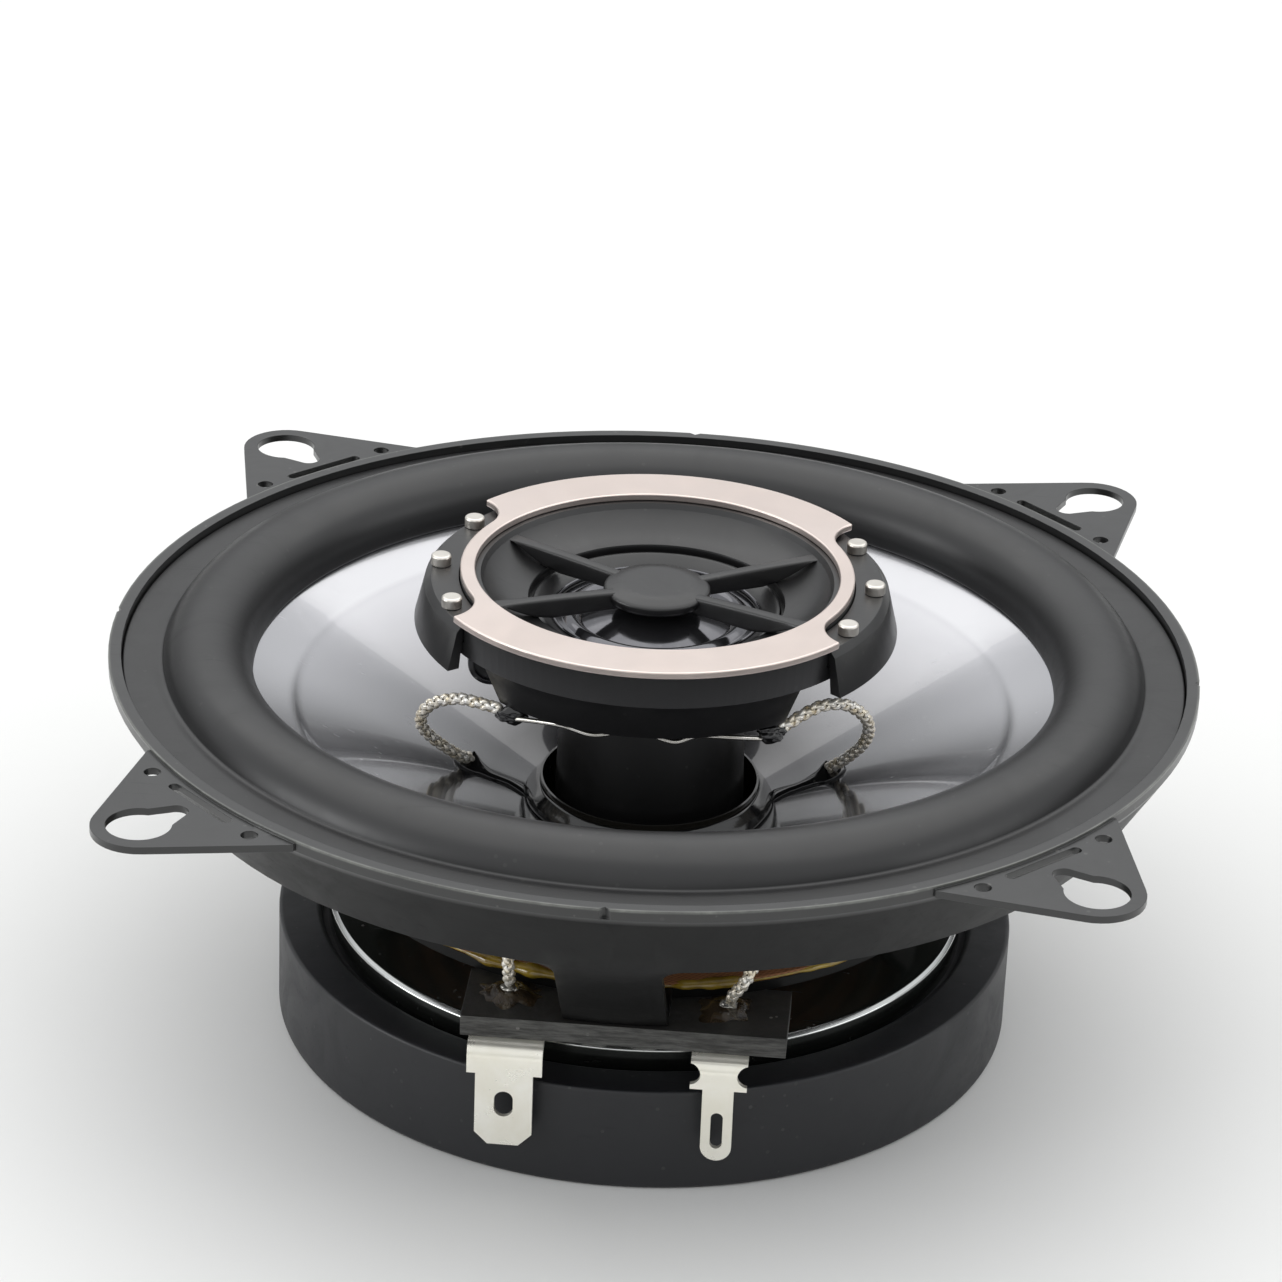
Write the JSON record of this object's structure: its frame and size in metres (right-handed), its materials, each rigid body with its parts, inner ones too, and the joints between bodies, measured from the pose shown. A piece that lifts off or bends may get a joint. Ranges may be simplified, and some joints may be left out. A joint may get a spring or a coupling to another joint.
{
  "type": "coaxial car speaker",
  "caption": "Round coaxial car speaker: pressed-steel basket with mounting ears, rubber surround, silver cone, post-mounted tweeter with cross vanes, booted ferrite magnet and push-on tabs.",
  "frame": {"origin": "centre of the round rim, on the front face of the mounting flange", "axes": "+Z along the speaker's axis towards the listener, -Y towards the terminals, +X to the right seen from the terminal side"},
  "size_m": [0.102, 0.102, 0.0458],
  "materials": {
    "basket_steel": "satin",
    "rubber": "satin",
    "cone_film": "glossy",
    "spider_cloth": "matte",
    "former_film": "glossy",
    "enamelled_wire": "satin",
    "black_glue": "glossy",
    "black_steel": "glossy",
    "ferrite": "matte",
    "zinc_steel": "satin",
    "boot_rubber": "satin",
    "fibre_board": "matte",
    "tinned_brass": "polished",
    "braid": "satin",
    "grey_plastic": "matte",
    "chrome_magnet": "polished",
    "dome_film": "glossy",
    "champagne_metal": "satin",
    "sleeve": "glossy",
    "tinned_wire": "polished"
  },
  "bodies": {
    "frame_and_motor": {"basket": "basket_steel", "surround": "rubber", "spider": "spider_cloth", "front_plate": "black_steel", "ferrite_magnet": "ferrite", "yoke": "zinc_steel", "magnet_boot": "boot_rubber", "terminal_board": "fibre_board", "board_rivets": "zinc_steel", "wide_terminal": "tinned_brass", "narrow_terminal": "tinned_brass", "terminal_eyelets": "tinned_brass", "terminal_lead_left": "braid", "terminal_lead_right": "braid", "tweeter_lead_left": "braid", "tweeter_lead_right": "braid", "tweeter_post": "black_steel", "post_screw": "zinc_steel", "tweeter_cup": "grey_plastic", "tweeter_pot": "zinc_steel", "tweeter_magnet": "chrome_magnet", "tweeter_pole": "zinc_steel", "diaphragm_ring": "grey_plastic", "dome_edge": "dome_film", "tweeter_bezel": "grey_plastic", "bezel_screws": "zinc_steel", "vane_grille": "grey_plastic", "trim_ring": "champagne_metal", "wing_left": "grey_plastic", "wing_right": "grey_plastic", "wing_studs": "zinc_steel", "capacitor": "sleeve", "crossover_wires": "tinned_wire"},
    "cone_assembly": {"cone": "cone_film", "coil_former": "former_film", "voice_coil": "enamelled_wire", "neck_glue": "black_glue", "lead_pads": "black_glue"},
    "tweeter_diaphragm": {"tweeter_dome": "dome_film", "tweeter_coil": "enamelled_wire"}
  },
  "joints": [
    {"name": "cone_stroke", "type": "slide", "parent": "frame_and_motor", "child": "cone_assembly", "axis": [0, 0, 1], "range_m": [-0.003, 0.003], "stiffness_N_per_m": 1500, "deforming": ["surround", "spider", "tweeter_lead_left", "tweeter_lead_right", "terminal_lead_left", "terminal_lead_right"]},
    {"name": "dome_stroke", "type": "slide", "parent": "frame_and_motor", "child": "tweeter_diaphragm", "axis": [0, 0, 1], "range_m": [-0.00025, 0.00025], "stiffness_N_per_m": 400, "deforming": ["dome_edge"]}
  ]
}
